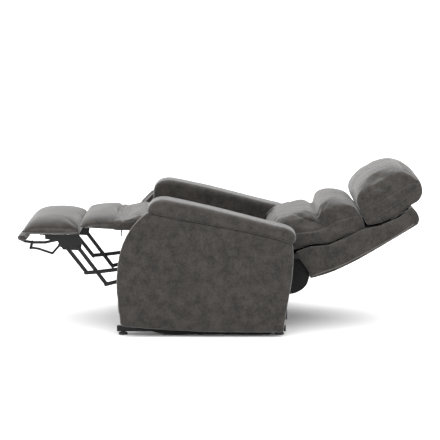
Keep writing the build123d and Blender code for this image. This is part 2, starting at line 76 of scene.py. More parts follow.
# ---- Node groups ----
class Graph:
    """Short-hand for laying nodes in a tree."""

    def __init__(self, tree: bpy.types.NodeTree) -> None:
        """Args: tree: the node tree to fill."""
        self.tree = tree

    def node(self, kind: str, inputs: dict | None = None, **settings: object) -> Node:
        """Adds a node.

        Args:
            kind: Blender's name of the node type.
            inputs: values or sockets for named inputs.
            settings: attributes of the node.

        Returns:
            The new node.
        """
        made = self.tree.nodes.new(kind)
        for key, value in settings.items():
            setattr(made, key, value)
        for key, value in (inputs or {}).items():
            if isinstance(value, Socket):
                self.tree.links.new(value, made.inputs[key])
            else:
                made.inputs[key].default_value = value
        return made

    def math(self, operation: str, first: Socket | float, second: Socket | float = 0.0) -> Socket:
        """One Math node. Returns: its output."""
        made = self.node("ShaderNodeMath", {0: first, 1: second}, operation=operation)
        return made.outputs[0]

    def noise(self, vector: Socket, scale: Socket | float, detail: float = 3.0,
              rough: float = 0.55) -> Socket:
        """One Noise Texture. Returns: its Fac output."""
        made = self.node("ShaderNodeTexNoise", {"Vector": vector, "Scale": scale,
                                                "Detail": detail, "Roughness": rough})
        return made.outputs["Fac"]


def new_group(name: str, inputs: Iterable[tuple[str, str, float | None]],
              outputs: Iterable[tuple[str, str]]) -> tuple[Graph, Socket, Node]:
    """Starts a shader node group.

    Args:
        name: the group's name.
        inputs: (socket name, socket type, default or None).
        outputs: (socket name, socket type).

    Returns:
        The graph, the group's input node and its output node.
    """
    tree = bpy.data.node_groups.new(name, "ShaderNodeTree")
    for label, kind, default in inputs:
        socket = tree.interface.new_socket(label, in_out="INPUT", socket_type=kind)
        if default is not None:
            socket.default_value = default
    for label, kind in outputs:
        tree.interface.new_socket(label, in_out="OUTPUT", socket_type=kind)
    graph = Graph(tree)
    return graph, graph.node("NodeGroupInput"), graph.node("NodeGroupOutput")


VECTOR, FLOAT = "NodeSocketVector", "NodeSocketFloat"


def mottle_group() -> bpy.types.NodeTree:
    """Cloudy variation: broad clouds broken by smaller ones. Returns: the group."""
    graph, given, out = new_group(
        "Mottle", [("Vector", VECTOR, None), ("Scale", FLOAT, 20.0), ("Contrast", FLOAT, 2.0)],
        [("Mask", FLOAT)])
    broad = graph.noise(given.outputs["Vector"], given.outputs["Scale"], 4.0, 0.6)
    finer = graph.noise(given.outputs["Vector"],
                        graph.math("MULTIPLY", given.outputs["Scale"], 4.3), 3.0, 0.65)
    both = graph.math("ADD", graph.math("MULTIPLY", broad, 0.65),
                      graph.math("MULTIPLY", finer, 0.35))
    spread = graph.math("MULTIPLY", graph.math("SUBTRACT", both, 0.5),
                        given.outputs["Contrast"])
    mask = graph.node("ShaderNodeClamp", {"Value": graph.math("ADD", spread, 0.5)})
    graph.tree.links.new(mask.outputs[0], out.inputs["Mask"])
    return graph.tree


def grain_group() -> bpy.types.NodeTree:
    """Leather grain: pebbles, pores and soft creases. Returns: the group."""
    graph, given, out = new_group(
        "Grain", [("Vector", VECTOR, None), ("Scale", FLOAT, 500.0)], [("Height", FLOAT)])
    warp = graph.node("ShaderNodeTexNoise", {"Vector": given.outputs["Vector"],
                                             "Scale": 60.0, "Detail": 2.0})
    bent = graph.node("ShaderNodeVectorMath", {0: warp.outputs["Color"], 1: (0.006,) * 3},
                      operation="MULTIPLY")
    place = graph.node("ShaderNodeVectorMath", {0: given.outputs["Vector"],
                                                1: bent.outputs[0]}, operation="ADD")
    cells = graph.node("ShaderNodeTexVoronoi", {"Vector": place.outputs[0],
                                                "Scale": given.outputs["Scale"]},
                       feature="DISTANCE_TO_EDGE")
    pebble = graph.node("ShaderNodeMapRange", {"Value": cells.outputs["Distance"],
                                               "From Max": 0.18})
    crease = graph.noise(given.outputs["Vector"], 38.0, 5.0, 0.6)
    height = graph.math("ADD", graph.math("MULTIPLY", pebble.outputs[0], 0.45),
                        graph.math("MULTIPLY", crease, 0.9))
    graph.tree.links.new(height, out.inputs["Height"])
    return graph.tree


def weave_group() -> bpy.types.NodeTree:
    """Plain weave from two crossed waves. Returns: the group."""
    graph, given, out = new_group(
        "Weave", [("Vector", VECTOR, None), ("Pitch", FLOAT, 900.0)], [("Height", FLOAT)])
    waves = []
    for axis in ("X", "Y", "Z"):
        split = graph.node("ShaderNodeSeparateXYZ", {0: given.outputs["Vector"]})
        turned = graph.math("MULTIPLY", split.outputs[axis], given.outputs["Pitch"])
        waves.append(graph.math("SINE", turned))
    height = graph.math("MULTIPLY", graph.math("ADD", waves[0], graph.math(
        "MULTIPLY", waves[1], waves[2])), 0.3)
    graph.tree.links.new(height, out.inputs["Height"])
    return graph.tree


class Groups:
    """Node groups that the materials share, each built once."""

    def __init__(self) -> None:
        """Builds the groups."""
        self.mottle = mottle_group()
        self.grain = grain_group()
        self.weave = weave_group()


# ---- Finishes ----
@dataclass(frozen=True)
class Finish:
    """A surface finish. Colours are linear RGB."""

    name: str
    dark: Colour
    light: Colour
    roughness: float
    mottle_scale: float = 16.0
    contrast: float = 2.0
    bump: float = 0.2
    bump_depth: float = 0.0006

    def start(self) -> tuple[bpy.types.Material, Graph, Node, Socket]:
        """Starts the material.

        Returns:
            The material, its graph, its Principled node and object coordinates.
        """
        material = bpy.data.materials.new(self.name)
        material.use_nodes = True
        graph = Graph(material.node_tree)
        surface = material.node_tree.nodes["Principled BSDF"]
        place = graph.node("ShaderNodeTexCoord").outputs["Object"]
        return material, graph, surface, place

    def group(self, graph: Graph, tree: bpy.types.NodeTree, **inputs: object) -> Node:
        """Places a node group. Returns: the group node."""
        made = graph.node("ShaderNodeGroup", node_tree=tree)
        for key, value in inputs.items():
            if isinstance(value, Socket):
                graph.tree.links.new(value, made.inputs[key])
            else:
                made.inputs[key].default_value = value
        return made

    def colours(self, graph: Graph, mask: Socket) -> Socket:
        """Dark to light colour by a mask. Returns: the colour."""
        mix = graph.node("ShaderNodeMix", {0: mask}, data_type="RGBA")
        mix.inputs[6].default_value = (*self.dark, 1.0)
        mix.inputs[7].default_value = (*self.light, 1.0)
        return mix.outputs[2]

    def rough(self, graph: Graph, mask: Socket, spread: float) -> Socket:
        """Roughness that varies with a mask. Returns: the value."""
        return graph.math("ADD", graph.math("MULTIPLY", mask, spread),
                          self.roughness - spread / 2)

    def clouds(self, graph: Graph, groups: Groups, place: Socket) -> Socket:
        """The finish's own mottling. Returns: its mask."""
        return self.group(graph, groups.mottle, Vector=place, Scale=self.mottle_scale,
                          Contrast=self.contrast).outputs[0]

    def tint(self, graph: Graph, surface: Node, mask: Socket, spread: float) -> None:
        """Feeds colour and roughness, varied by a mask, to the surface."""
        graph.tree.links.new(self.colours(graph, mask), surface.inputs["Base Color"])
        graph.tree.links.new(self.rough(graph, mask, spread), surface.inputs["Roughness"])

    def bumped(self, graph: Graph, surface: Node, height: Socket) -> None:
        """Feeds a height to the surface's normal."""
        bump = graph.node("ShaderNodeBump", {"Height": height, "Strength": self.bump,
                                             "Distance": self.bump_depth})
        graph.tree.links.new(bump.outputs[0], surface.inputs["Normal"])


@dataclass(frozen=True)
class Leather(Finish):
    """Distressed, suede-like leather with cloudy patches; seams and piping are painted lighter, partly as wear and
    partly as painted highlight.
    """

    # Lighter colour for seams and piping: partly wear, partly painted highlight.
    wear_highlight_colour: Colour = (0.11, 0.10, 0.09)
    sheen: float = 0.34
    specular: float = 0.17

    def build(self, groups: Groups) -> bpy.types.Material:
        """Returns: the material."""
        material, graph, surface, place = self.start()
        patches = self.clouds(graph, groups, place)
        streaks = self.group(graph, groups.mottle, Vector=place, Scale=self.mottle_scale * 5.0,
                             Contrast=3.0)
        mask = graph.math("ADD", graph.math("MULTIPLY", patches, 0.62),
                          graph.math("MULTIPLY", streaks.outputs[0], 0.38))
        base = self.colours(graph, mask)
        # Mask of the lighter paint on seams and piping: partly wear, partly painted highlight.
        wear_and_highlight = graph.node("ShaderNodeAttribute", attribute_name="wear_and_highlight")
        wear_highlight_colour = graph.node("ShaderNodeMix", {0: wear_and_highlight.outputs["Fac"], 6: base},
                          data_type="RGBA")
        wear_highlight_colour.inputs[7].default_value = (*self.wear_highlight_colour, 1.0)
        graph.tree.links.new(wear_highlight_colour.outputs[2], surface.inputs["Base Color"])
        graph.tree.links.new(self.rough(graph, mask, 0.14), surface.inputs["Roughness"])
        grain = self.group(graph, groups.grain, Vector=place, Scale=520.0)
        self.bumped(graph, surface, grain.outputs[0])
        surface.inputs["Sheen Weight"].default_value = self.sheen
        surface.inputs["Sheen Roughness"].default_value = 0.45
        surface.inputs["Specular IOR Level"].default_value = self.specular
        return material


@dataclass(frozen=True)
class Coated(Finish):
    """Powder coat, moulded plastic, rubber or bare metal with slight wear."""

    metallic: float = 0.0
    grain_scale: float = 700.0
    specular: float = 0.5

    def build(self, groups: Groups) -> bpy.types.Material:
        """Returns: the material."""
        material, graph, surface, place = self.start()
        self.tint(graph, surface, self.clouds(graph, groups, place), 0.2)
        self.bumped(graph, surface, graph.noise(place, self.grain_scale, 2.0))
        surface.inputs["Metallic"].default_value = self.metallic
        surface.inputs["Specular IOR Level"].default_value = self.specular
        return material


@dataclass(frozen=True)
class Woven(Finish):
    """Dust cloth or webbing."""

    pitch: float = 2400.0

    def build(self, groups: Groups) -> bpy.types.Material:
        """Returns: the material."""
        material, graph, surface, place = self.start()
        self.tint(graph, surface, self.clouds(graph, groups, place), 0.1)
        weave = self.group(graph, groups.weave, Vector=place, Pitch=self.pitch)
        self.bumped(graph, surface, weave.outputs[0])
        surface.inputs["Specular IOR Level"].default_value = 0.1
        return material


@dataclass(frozen=True)
class Timber(Finish):
    """Plywood with long grain along Y, coloured dark as painted shade: where it shows in the gaps, it stands in
    for the shade there.
    """

    def build(self, groups: Groups) -> bpy.types.Material:
        """Returns: the material."""
        material, graph, surface, place = self.start()
        stretched = graph.node("ShaderNodeMapping", {"Vector": place, "Scale": (60.0, 3.0, 60.0)})
        lines = graph.noise(stretched.outputs[0], 2.0, 6.0, 0.6)
        tone = self.clouds(graph, groups, place)
        mask = graph.math("ADD", graph.math("MULTIPLY", lines, 0.7),
                          graph.math("MULTIPLY", tone, 0.3))
        self.tint(graph, surface, mask, 0.15)
        self.bumped(graph, surface, lines)
        return material


class Slot(Enum):
    """The record's material slots."""

    LEATHER = "leather"
    BLACK_STEEL = "black_steel"
    BRIGHT_STEEL = "bright_steel"
    TIMBER = "timber"
    BLACK_CLOTH = "black_cloth"
    BLACK_PLASTIC = "black_plastic"
    RUBBER = "rubber"
    WEBBING = "webbing"


FINISHES = {
    Slot.LEATHER: Leather("taupe_leather", (0.0074, 0.0064, 0.0056), (0.0430, 0.0377, 0.0333), 0.48,
                          mottle_scale=21.0, contrast=4.4, bump=0.35, bump_depth=0.0012),
    Slot.BLACK_STEEL: Coated("black_powder_coat", (0.0025, 0.0025, 0.003), (0.007, 0.007, 0.0075),
                             0.48, mottle_scale=30.0, bump=0.15, specular=0.25),
    Slot.BRIGHT_STEEL: Coated("drawn_steel", (0.42, 0.42, 0.43), (0.62, 0.62, 0.63), 0.3,
                              metallic=1.0, bump=0.05),
    # Timber is coloured dark as painted shade for the gaps where it shows; its own colour is not known.
    Slot.TIMBER: Timber("plywood_painted_shade", (0.016, 0.013, 0.011), (0.034, 0.028, 0.023), 0.7,
                        bump=0.2),
    Slot.BLACK_CLOTH: Woven("dust_cloth", (0.006, 0.006, 0.006), (0.018, 0.018, 0.018), 0.9),
    Slot.BLACK_PLASTIC: Coated("moulded_plastic", (0.010, 0.010, 0.011), (0.022, 0.022, 0.023),
                               0.5, mottle_scale=40.0, bump=0.12),
    Slot.RUBBER: Coated("glide_rubber", (0.010, 0.010, 0.010), (0.025, 0.025, 0.024), 0.8),
    Slot.WEBBING: Woven("seat_webbing", (0.05, 0.045, 0.04), (0.11, 0.10, 0.09), 0.9,
                        pitch=1200.0),
}


class Wardrobe:
    """Builds the finishes and puts them on pieces and CAD nodes."""

    def __init__(self) -> None:
        """Builds every material once."""
        groups = Groups()
        self.materials = {slot: finish.build(groups) for slot, finish in FINISHES.items()}

    def dress(self, piece: Object, slot: Slot) -> None:
        """Gives a new piece one finish."""
        piece.data.materials.clear()
        piece.data.materials.append(self.materials[slot])

    def dress_frame(self) -> None:
        """Gives every CAD node the finish that its record slot names."""
        slots = {row["node"]: row["material_slot"] for row in frame["record"]["subparts"]}
        for name, node in frame["nodes"].items():
            material = self.materials[Slot(slots[name])]
            for material_slot in node.material_slots:
                material_slot.material = material


# ---- Mesh tools ----
def points_of(mesh: Mesh) -> np.ndarray:
    """Returns: the mesh's vertices as an (n, 3) array."""
    flat = np.empty(len(mesh.vertices) * 3, np.float64)
    mesh.vertices.foreach_get("co", flat)
    return flat.reshape(-1, 3)


def put_points(mesh: Mesh, points: np.ndarray) -> None:
    """Writes the mesh's vertices."""
    mesh.vertices.foreach_set("co", np.ascontiguousarray(points, np.float64).ravel())
    mesh.update()


def normals_of(mesh: Mesh) -> np.ndarray:
    """Returns: the mesh's vertex normals as an (n, 3) array."""
    return np.array([n.vector for n in mesh.vertex_normals], float).reshape(-1, 3)


def smoothstep(values: np.ndarray, low: float, high: float) -> np.ndarray:
    """Returns: 0 below low, 1 above high, smooth between."""
    share = np.clip((values - low) / (high - low), 0.0, 1.0)
    return share * share * (3.0 - 2.0 * share)


def new_object(name: str, data: bpy.types.ID) -> Object:
    """Returns: a new object of the mesh, curve, lamp or camera, in the scene."""
    made = bpy.data.objects.new(name, data)
    bpy.context.scene.collection.objects.link(made)
    return made


def from_bmesh(name: str, shape: bmesh.types.BMesh, smooth: bool = True) -> Object:
    """Closes a bmesh into an object with faces outwards. Returns: the object."""
    bmesh.ops.remove_doubles(shape, verts=shape.verts, dist=1e-5)
    bmesh.ops.recalc_face_normals(shape, faces=shape.faces)
    mesh = bpy.data.meshes.new(name)
    shape.to_mesh(mesh)
    shape.free()
    if smooth:
        mesh.shade_smooth()
    return new_object(name, mesh)


def copy_of(nodes: Sequence[str], name: str, side: int = 0) -> Object:
    """Joins merged copies of CAD meshes.

    Args:
        nodes: the CAD nodes to copy.
        name: the new object's name.
        side: 1 or -1 keeps only the half with X of that sign.

    Returns:
        The new object.
    """
    shape = bmesh.new()
    for node in nodes:
        shape.from_mesh(frame["nodes"][node].data)
    if side:
        far = [v for v in shape.verts if v.co.x * side < 0.0]
        bmesh.ops.delete(shape, geom=far, context="VERTS")
    return from_bmesh(name, shape, smooth=False)


def settle(piece: Object) -> None:
    """Applies every modifier of the piece to its mesh."""
    graph = bpy.context.evaluated_depsgraph_get()
    mesh = bpy.data.meshes.new_from_object(piece.evaluated_get(graph))
    piece.modifiers.clear()
    old = piece.data
    piece.data = mesh
    bpy.data.meshes.remove(old)
    mesh.name = piece.name


def remesh(piece: Object, voxel: float) -> None:
    """Rebuilds the piece's skin from even quads of about one voxel."""
    modifier = piece.modifiers.new("Remesh", "REMESH")
    modifier.mode = "VOXEL"
    modifier.voxel_size = voxel
    modifier.use_smooth_shade = True
    settle(piece)


def relax(piece: Object, rounds: int, strength: float = 0.5) -> None:
    """Smooths the piece, which rounds its edges."""
    shape = bmesh.new()
    shape.from_mesh(piece.data)
    for _ in range(rounds):
        bmesh.ops.smooth_vert(shape, verts=shape.verts, factor=strength, use_axis_x=True,
                              use_axis_y=True, use_axis_z=True)
    shape.to_mesh(piece.data)
    shape.free()
    piece.data.update()


def swell(piece: Object, distance: float) -> None:
    """Moves the piece's skin out, or in where distance is negative."""
    put_points(piece.data, points_of(piece.data) + normals_of(piece.data) * distance)


def subdivide(piece: Object) -> None:
    """One level of subdivision surface, applied."""
    modifier = piece.modifiers.new("Subdivision", "SUBSURF")
    modifier.levels = modifier.render_levels = 1
    settle(piece)


def skin(piece: Object, voxel: float, rounds: int, grow: float) -> None:
    """Turns solids into one finely meshed, rounded skin that stands out by grow."""
    remesh(piece, voxel)
    relax(piece, rounds)
    swell(piece, grow)
    subdivide(piece)


HIDE = {"quality": 5, "mass": 0.4, "tension_stiffness": 18.0, "compression_stiffness": 8.0,
        "shear_stiffness": 6.0, "bending_stiffness": 2.0, "use_pressure": True,
        "pin_stiffness": 1.0}
INFLATE_FRAMES = 20


def inflate(piece: Object, pinned: np.ndarray, pressure: float, cap: float) -> None:
    """Blows the piece up as sewn cloth and keeps the result.

    Args:
        piece: a closed, evenly meshed shape.
        pinned: weight of each vertex, 1 where it stays.
        pressure: air pressure inside.
        cap: how far a point may move, in metres.
    """
    rest = points_of(piece.data)
    group = piece.vertex_groups.new(name="pin")
    for index in np.nonzero(pinned > 0.02)[0]:
        group.add([int(index)], float(pinned[index]), "REPLACE")
    cloth = piece.modifiers.new("Cloth", "CLOTH")
    for setting, value in HIDE.items():
        setattr(cloth.settings, setting, value)
    cloth.settings.uniform_pressure_force = pressure
    cloth.settings.effector_weights.gravity = 0.0
    cloth.settings.vertex_group_mass = "pin"
    cloth.collision_settings.use_collision = False
    scene = bpy.context.scene
    cloth.point_cache.frame_start, cloth.point_cache.frame_end = 1, INFLATE_FRAMES
    for step in range(1, INFLATE_FRAMES + 1):
        scene.frame_set(step)
    graph = bpy.context.evaluated_depsgraph_get()
    blown = bpy.data.meshes.new_from_object(piece.evaluated_get(graph))
    move = points_of(blown) - rest
    length = np.linalg.norm(move, axis=1, keepdims=True)
    move *= np.minimum(1.0, cap / np.maximum(length, 1e-9))
    bpy.data.meshes.remove(blown)
    piece.modifiers.clear()
    piece.vertex_groups.clear()
    put_points(piece.data, rest + move)
    scene.frame_set(1)


def curve_points(corners: Sequence[tuple[float, ...]], per_span: int) -> list[Vector]:
    """Smooth line through a few points.

    Args:
        corners: the points it passes.
        per_span: steps between two of them.

    Returns:
        The line's points.
    """
    ends = [Vector(c) for c in corners]
    ends = [2 * ends[0] - ends[1], *ends, 2 * ends[-1] - ends[-2]]
    line = []
    for a, b, c, d in zip(ends[:-3], ends[1:-2], ends[2:-1], ends[3:]):
        for step in range(per_span):
            t = step / per_span
            line.append(0.5 * (2 * b + (c - a) * t + (2 * a - 5 * b + 4 * c - d) * t ** 2
                               + (3 * b - 3 * c + d - a) * t ** 3))
    line.append(ends[-2])
    return line


def distance_to_line(points: np.ndarray, line: Line) -> np.ndarray:
    """Returns: each point's distance to a polyline."""
    best = np.full(len(points), 1e9)
    corners = np.array([tuple(p) for p in line])
    for start, end in zip(corners[:-1], corners[1:]):
        run = end - start
        share = np.clip((points - start) @ run / max(run @ run, 1e-12), 0.0, 1.0)
        gap = np.linalg.norm(points - start - share[:, None] * run, axis=1)
        best = np.minimum(best, gap)
    return best


def paint_wear_and_highlight(piece: Object, amount: np.ndarray) -> None:
    """Stores how much lighter the leather is painted at each vertex: partly wear, partly painted highlight."""
    layer = piece.data.attributes.get("wear_and_highlight") or piece.data.attributes.new(
        "wear_and_highlight", "FLOAT", "POINT")
    layer.data.foreach_set("value", amount.astype(np.float32))


def tree_of(mesh: Mesh) -> BVHTree:
    """Returns: a search tree of the mesh's faces."""
    return BVHTree.FromPolygons([v.co for v in mesh.vertices],
                                [p.vertices[:] for p in mesh.polygons])


def on_skin(piece: Object, line: Line) -> list[Vector]:
    """Returns: the line's points moved to the nearest place on the piece."""
    tree = tree_of(piece.data)
    return [tree.find_nearest(point)[0] for point in line]


def sew(piece: Object, seams: Iterable[Line], depth: float = 0.003,
        width: float = 0.006) -> None:
    """Pulls the skin in along seams and paints the leather beside them lighter: partly wear, partly painted
    highlight.
    """
    points, out = points_of(piece.data), normals_of(piece.data)
    pull = np.zeros(len(points))
    for seam in seams:
        gap = distance_to_line(points, on_skin(piece, seam))
        pull = np.maximum(pull, np.exp(-((gap / width) ** 2)))
    put_points(piece.data, points - out * (pull * depth)[:, None])
    # Painted highlight, partly wear, on both sides of each seam groove.
    edges = np.clip(pull * (1.0 - pull) * 4.0, 0.0, 1.0)
    paint_wear_and_highlight(piece, 0.10 * edges)


def tube(name: str, line: Line, radius: float, sides: int = 3) -> Object:
    """Round piping along a line. Returns: its mesh object."""
    path = bpy.data.curves.new(name, "CURVE")
    path.dimensions = "3D"
    path.bevel_depth = radius
    path.bevel_resolution = sides
    path.use_fill_caps = True
    spline = path.splines.new("POLY")
    spline.points.add(len(line) - 1)
    for point, place in zip(spline.points, line):
        point.co = (*place, 1.0)
    holder = new_object(name, path)
    graph = bpy.context.evaluated_depsgraph_get()
    mesh = bpy.data.meshes.new_from_object(holder.evaluated_get(graph))
    bpy.data.objects.remove(holder)
    shape = bmesh.new()
    shape.from_mesh(mesh)
    bpy.data.meshes.remove(mesh)
    return from_bmesh(name, shape)


# ---- Soft parts ----
def across(place: tuple[float, float], half: float, bow: float = 0.0) -> list[Vector]:
    """Line from side to side at (Y, Z).

    Args:
        place: where it crosses the middle.
        half: half its length.
        bow: how far its ends drop.

    Returns:
        The line's points.
    """
    ends = [(x * half, place[0], place[1] - bow * abs(x) ** 3) for x in (-1, -0.5, 0, 0.5, 1)]
    return curve_points(ends, 8)


def beside(x: float, corners: Sequence[tuple[float, float]]) -> list[Vector]:
    """Returns: a smooth line through (Y, Z) corners at one X."""
    return curve_points([(x, y, z) for y, z in corners], 8)


def both_sides(line: Line) -> list[list[Vector]]:
    """Returns: the line and its mirror image about X = 0."""
    return [list(line), [Vector((-p.x, p.y, p.z)) for p in line]]


def crumple(piece: Object, height: float, pitch: float) -> None:
    """Adds shallow, irregular unevenness.

    Args:
        piece: the piece to change.
        height: size of the largest waves.
        pitch: waves per metre.
    """
    points, out = points_of(piece.data), normals_of(piece.data)
    wave = np.array([noise.noise(Vector(p) * pitch) + 0.4 * noise.noise(Vector(p) * pitch * 3.7)
                     for p in points])
    put_points(piece.data, points + out * (wave * height)[:, None])


@dataclass
class Cushion:
    """A sewn, stuffed leather piece that fills its CAD solid.

    cap is how far the cover may stand out from the solid that inset has shrunk. A piece that
    isn't blown takes its shape from the solid alone, and stands out by the whole of cap.
    """

    nodes: tuple[str, ...]
    name: str
    voxel: float = 0.008
    inset: float = 0.007
    cap: float = 0.014
    pressure: float = 4.0
    crown: float = 0.014
    crown_power: float = 4.0
    round_off: int = 5
    fill: float = 0.75
    wrinkle: float = 0.0012
    pitch: float = 13.0
    creases: list[list[Vector]] = field(default_factory=list)
    crease_depth: float = 0.010
    crease_width: float = 0.010
    seams: list[list[Vector]] = field(default_factory=list)
    gathers: list[list[Vector]] = field(default_factory=list)
    stretch: tuple[float, float, float] = (0.0, 1.0, 0.0)
    side: int = 0
    blown: bool = True
    prepare: Callable[[Object], None] | None = None

    def build(self) -> Object:
        """Makes the cushion's mesh. Returns: the piece."""
        piece = copy_of(self.nodes, self.name, self.side)
        if self.prepare:
            self.prepare(piece)
        remesh(piece, self.voxel)
        relax(piece, self.round_off)
        swell(piece, -self.inset)
        self.shape_crown(piece)
        if not self.blown:
            swell(piece, self.cap)
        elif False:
            swell(piece, self.inset)
        else:
            held = smoothstep(-normals_of(piece.data)[:, 2], 0.35, 0.7)
            inflate(piece, held, self.pressure, self.cap)
        relax(piece, 2)
        subdivide(piece)
        crumple(piece, self.wrinkle, self.pitch)
        sew(piece, self.creases, self.crease_depth, self.crease_width * 3.0)
        sew(piece, self.creases, self.crease_depth, self.crease_width)
        sew(piece, self.gathers, 0.0040, 0.008)
        sew(piece, self.seams, 0.0060, 0.0060)
        return piece

    def shape_crown(self, piece: Object) -> None:
        """Lowers the top towards both sides and stretches the end along Y."""
        low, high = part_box(self.nodes[0])
        points = points_of(piece.data)
        start, end, amount = self.stretch
        points[:, 1] += amount * smoothstep(points[:, 1], start, end)
        side = np.abs(points[:, 0]) / ((high[0] - low[0]) / 2)
        height = smoothstep(points[:, 2], low[2], high[2])
        points[:, 2] -= self.crown * side ** self.crown_power * height
        put_points(piece.data, points)


@dataclass
class Upholsterer:
    """Dresses and places finished pieces."""

    wardrobe: Wardrobe

    def padded(self, piece: Object, body: str, nodes: Sequence[str] = (), fill: float = 0.75,
               slot: Slot = Slot.LEATHER) -> Object:
        """Finishes a padded piece that rides one body.

        Args:
            piece: the finished mesh.
            body: the body it rides.
            nodes: the CAD nodes it stands for.
            fill: from 0, slack, to 1, tight; not used.
            slot: its finish.

        Returns:
            The piece.
        """
        self.plain(piece, body, nodes, slot)
        return piece

    def cover(self, piece: Object, slot: Slot, nodes: Sequence[str]) -> None:
        """Gives a piece its finish and hides the CAD nodes it stands for."""
        self.wardrobe.dress(piece, slot)
        if nodes:
            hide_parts(*nodes)
        LOG.info("%s: %d faces", piece.name, len(piece.data.polygons))

    def plain(self, piece: Object, body: str, nodes: Sequence[str] = (),
              slot: Slot = Slot.LEATHER) -> None:
        """Finishes a piece that rides one body, such as piping."""
        self.cover(piece, slot, nodes)
        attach(piece, body)

    def piping(self, name: str, line: Line, radius: float, body: str,
               wear_and_highlight: float = 0.0) -> None:
        """Sews piping along a line, painted lighter by the given amount where it is over 0: partly wear, partly
        painted highlight.
        """
        piece = tube(name, line, radius)
        if wear_and_highlight:
            paint_wear_and_highlight(piece, np.full(len(piece.data.vertices), wear_and_highlight))
        self.plain(piece, body)

    def bending(self, piece: Object, bodies: tuple[str, str], start: Vector, end: Vector,
                slot: Slot, nodes: Sequence[str] = ()) -> None:
        """Finishes a piece that lies between two bodies, fixed where it is made.

        Args:
            piece: the finished mesh.
            bodies: the bodies at its start and end; not used.
            start: where the first body lets go; not used.
            end: where the second body takes over; not used.
            slot: its finish.
            nodes: the CAD nodes it stands for.
        """
        self.cover(piece, slot, nodes)
        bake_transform(piece)


@dataclass
class Arm:
    """One arm: upholstered body with piping, and a rolled cap that covers the inner pad."""

    side: str
    sign: int
    trim: Upholsterer
    voxel: float = 0.007
    piping: float = 0.0024
    outer_edge_x: float = 0.3825
    inner_edge_x: float = 0.306
    panel_x: float = 0.385
    welt_x: float = 0.3875

    def build(self) -> None:
        """Builds the whole arm."""
        body = self.build_body()
        self.build_piping(body)
        self.build_cap()

    def build_body(self) -> Object:
        """Outer panel, boxing and frame cover. Returns: the piece."""
        panel = f"{self.side}_arm_outer_panel"
        piece = copy_of([panel, "arm_frames"], f"{self.side}_arm_leather", self.sign)
        skin(piece, self.voxel, 4, 0.0012)
        crumple(piece, 0.0011, 9.0)
        return self.trim.padded(piece, "chair", [panel, "arm_frames"], fill=0.9)

    def front_edge(self, piece: Object, x: float, low: float, high: float) -> list[Vector]:
        """Foremost points of a piece at one X.

        Args:
            piece: the mesh to follow.
            x: distance from the middle.
            low: lowest Z.
            high: highest Z.

        Returns:
            The points, upwards.
        """
        tree = tree_of(piece.data)
        line = []
        for z in np.linspace(low, high, 50):
            hit = tree.ray_cast(Vector((self.sign * x, -1.0, z)), Vector((0, 1, 0)))[0]
            if hit:
                line.append(hit)
        return line

    def build_piping(self, body: Object) -> None:
        """Piping up both edges of the front boxing."""
        low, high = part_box(f"{self.side}_arm_outer_panel")
        for label, x in (("outer", self.outer_edge_x), ("inner", self.inner_edge_x)):
            edge = self.front_edge(body, x, low[2] + 0.035, high[2] - 0.012)
            shift = Vector((self.sign * (0.003 if label == "outer" else -0.003), -0.0006, 0))
            # Front piping painted lighter: partly wear, partly painted highlight along the edges.
            self.trim.piping(f"{self.side}_arm_{label}_piping", [p + shift for p in edge],
                             self.piping, "chair", wear_and_highlight=0.8)

    def build_cap(self) -> None:
        """Padded roll on the arm that runs on into the pad inside, with a welt outside."""
        node = f"{self.side}_arm_cap"
        cap = Cushion((node, "arm_inner_pads"), f"{node}_leather", voxel=0.007, inset=0.004,
                      cap=0.007, blown=False, crown=0.0, round_off=10, wrinkle=0.0010, pitch=12.0,
                      side=self.sign, prepare=self.close_gap)
        self.trim.padded(cap.build(), "chair", [node, "arm_inner_pads"], fill=0.85)
        under = [Vector((self.sign * self.welt_x, y, z))
                 for y, z in self.under_line(node, self.panel_x)]
        self.trim.piping(f"{node}_welt", under, self.piping, "chair")

    def close_gap(self, piece: Object) -> None:
        """Brings the cap's inner lower edge down into the pad below it."""
        line = self.under_line(f"{self.side}_arm_cap", 0.266)
        places, heights = zip(*line)
        points = points_of(piece.data)
        under = np.interp(points[:, 1], places, heights)
        inner = np.abs(np.abs(points[:, 0]) - 0.262) < 0.0008
        lower = inner & (np.abs(points[:, 2] - under) < 0.012)
        points[lower, 2] -= 0.020
        put_points(piece.data, points)

    def under_line(self, node: str, x: float) -> list[tuple[float, float]]:
        """Underside of the cap at one X, front to rear. Returns: (Y, Z) places."""
        tree = tree_of(frame["nodes"][node].data)
        low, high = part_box(node)
        line = []
        for y in np.linspace(low[1] + 0.012, high[1] - 0.018, 46):
            hit = tree.ray_cast(Vector((self.sign * x, y, 0.0)), Vector((0, 0, 1)))[0]
            if hit:
                line.append((y, hit.z + 0.002))
        return line


